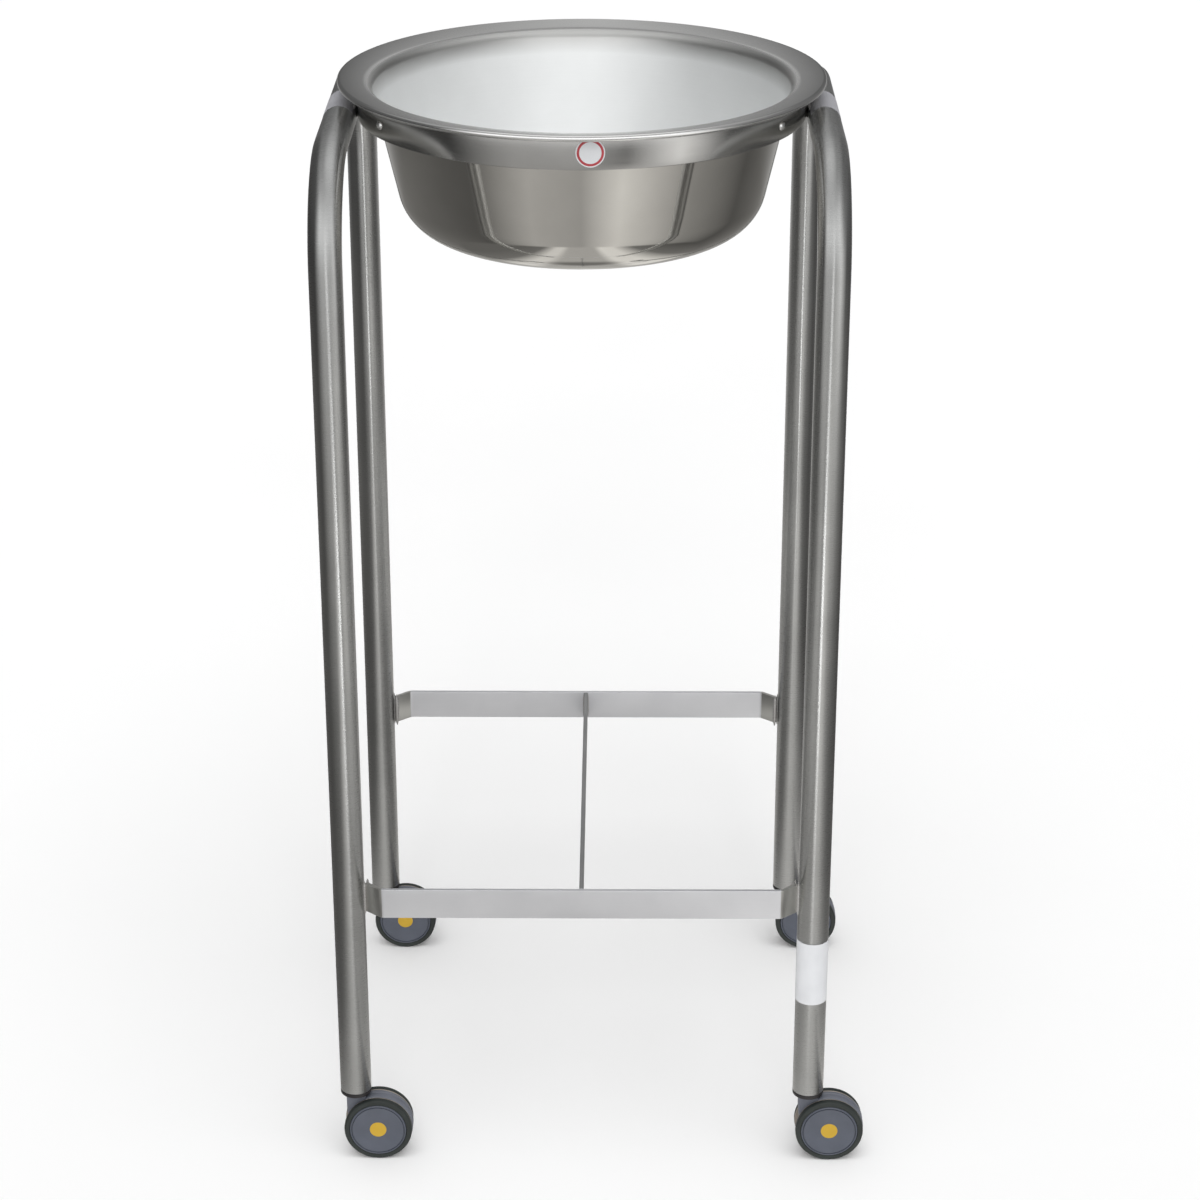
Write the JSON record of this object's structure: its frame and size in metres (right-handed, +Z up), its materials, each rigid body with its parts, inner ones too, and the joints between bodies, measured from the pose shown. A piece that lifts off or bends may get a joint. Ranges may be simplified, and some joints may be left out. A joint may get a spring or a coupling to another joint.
{
  "type": "basin stand",
  "caption": "Wheeled stand of bent steel tube that carries a lift-out round basin in a band ring, with low crossbars, a centre brace and twin-wheel swivel casters.",
  "frame": {"origin": "on the floor, below the middle of the basin", "axes": "+Z up, +X to the right and -Y towards the front, as seen in the picture"},
  "size_m": [0.4332, 0.3786, 0.8718],
  "materials": {
    "tube": "satin brushed stainless steel",
    "sheet": "polished stainless sheet",
    "bar": "matte stainless flat bar",
    "plated": "plated steel pins and rivets",
    "black_plastic": "moulded black plastic",
    "grey_plastic": "moulded grey plastic",
    "tyre": "smooth dark tread",
    "bumper": "pale soft rubber"
  },
  "bodies": {
    "frame": {"left_side_frame": "tube", "right_side_frame": "tube", "basin_ring": "tube", "ring_rivet_front_left": "plated", "ring_rivet_front_right": "plated", "ring_rivet_rear": "plated", "ring_bumper_front_left": "bumper", "ring_bumper_front_right": "bumper", "ring_bumper_rear": "bumper", "front_crossbar": "bar", "rear_crossbar": "bar", "centre_brace": "bar", "socket_front_left": "black_plastic", "socket_front_right": "black_plastic", "socket_rear_left": "black_plastic", "socket_rear_right": "black_plastic", "stem_front_left": "plated", "stem_front_right": "plated", "stem_rear_left": "plated", "stem_rear_right": "plated", "grip_ring_front_left": "plated", "grip_ring_front_right": "plated", "grip_ring_rear_left": "plated", "grip_ring_rear_right": "plated"},
    "basin": {"basin": "sheet"},
    "caster_front_left": {"hood_front_left": "grey_plastic", "axle_front_left": "plated"},
    "caster_front_right": {"hood_front_right": "grey_plastic", "axle_front_right": "plated"},
    "caster_rear_left": {"hood_rear_left": "grey_plastic", "axle_rear_left": "plated"},
    "caster_rear_right": {"hood_rear_right": "grey_plastic", "axle_rear_right": "plated"},
    "wheel_front_left_near": {"hub_front_left_near": "grey_plastic", "tyre_front_left_near": "tyre"},
    "wheel_front_left_far": {"hub_front_left_far": "grey_plastic", "tyre_front_left_far": "tyre"},
    "wheel_front_right_near": {"hub_front_right_near": "grey_plastic", "tyre_front_right_near": "tyre"},
    "wheel_front_right_far": {"hub_front_right_far": "grey_plastic", "tyre_front_right_far": "tyre"},
    "wheel_rear_left_near": {"hub_rear_left_near": "grey_plastic", "tyre_rear_left_near": "tyre"},
    "wheel_rear_left_far": {"hub_rear_left_far": "grey_plastic", "tyre_rear_left_far": "tyre"},
    "wheel_rear_right_near": {"hub_rear_right_near": "grey_plastic", "tyre_rear_right_near": "tyre"},
    "wheel_rear_right_far": {"hub_rear_right_far": "grey_plastic", "tyre_rear_right_far": "tyre"}
  },
  "joints": [
    {"name": "basin_lift", "type": "slide", "parent": "frame", "child": "basin", "axis": [0, 0, 1], "range_m": [0, 0.16]},
    {"name": "swivel_front_left", "type": "hinge", "parent": "frame", "child": "caster_front_left", "pos_m": [-0.187, -0.174, 0.0585], "axis": [0, 0, 1], "continuous": true},
    {"name": "swivel_front_right", "type": "hinge", "parent": "frame", "child": "caster_front_right", "pos_m": [0.187, -0.174, 0.0585], "axis": [0, 0, 1], "continuous": true},
    {"name": "swivel_rear_left", "type": "hinge", "parent": "frame", "child": "caster_rear_left", "pos_m": [-0.187, 0.174, 0.0585], "axis": [0, 0, 1], "continuous": true},
    {"name": "swivel_rear_right", "type": "hinge", "parent": "frame", "child": "caster_rear_right", "pos_m": [0.187, 0.174, 0.0585], "axis": [0, 0, 1], "continuous": true},
    {"name": "roll_front_left_near", "type": "hinge", "parent": "caster_front_left", "child": "wheel_front_left_near", "pos_m": [-0.169, -0.1795, 0.028], "axis": [0, 1, 0], "continuous": true},
    {"name": "roll_front_left_far", "type": "hinge", "parent": "caster_front_left", "child": "wheel_front_left_far", "pos_m": [-0.169, -0.1685, 0.028], "axis": [0, 1, 0], "continuous": true},
    {"name": "roll_front_right_near", "type": "hinge", "parent": "caster_front_right", "child": "wheel_front_right_near", "pos_m": [0.205, -0.1795, 0.028], "axis": [0, 1, 0], "continuous": true},
    {"name": "roll_front_right_far", "type": "hinge", "parent": "caster_front_right", "child": "wheel_front_right_far", "pos_m": [0.205, -0.1685, 0.028], "axis": [0, 1, 0], "continuous": true},
    {"name": "roll_rear_left_near", "type": "hinge", "parent": "caster_rear_left", "child": "wheel_rear_left_near", "pos_m": [-0.169, 0.1685, 0.028], "axis": [0, 1, 0], "continuous": true},
    {"name": "roll_rear_left_far", "type": "hinge", "parent": "caster_rear_left", "child": "wheel_rear_left_far", "pos_m": [-0.169, 0.1795, 0.028], "axis": [0, 1, 0], "continuous": true},
    {"name": "roll_rear_right_near", "type": "hinge", "parent": "caster_rear_right", "child": "wheel_rear_right_near", "pos_m": [0.205, 0.1685, 0.028], "axis": [0, 1, 0], "continuous": true},
    {"name": "roll_rear_right_far", "type": "hinge", "parent": "caster_rear_right", "child": "wheel_rear_right_far", "pos_m": [0.205, 0.1795, 0.028], "axis": [0, 1, 0], "continuous": true}
  ]
}
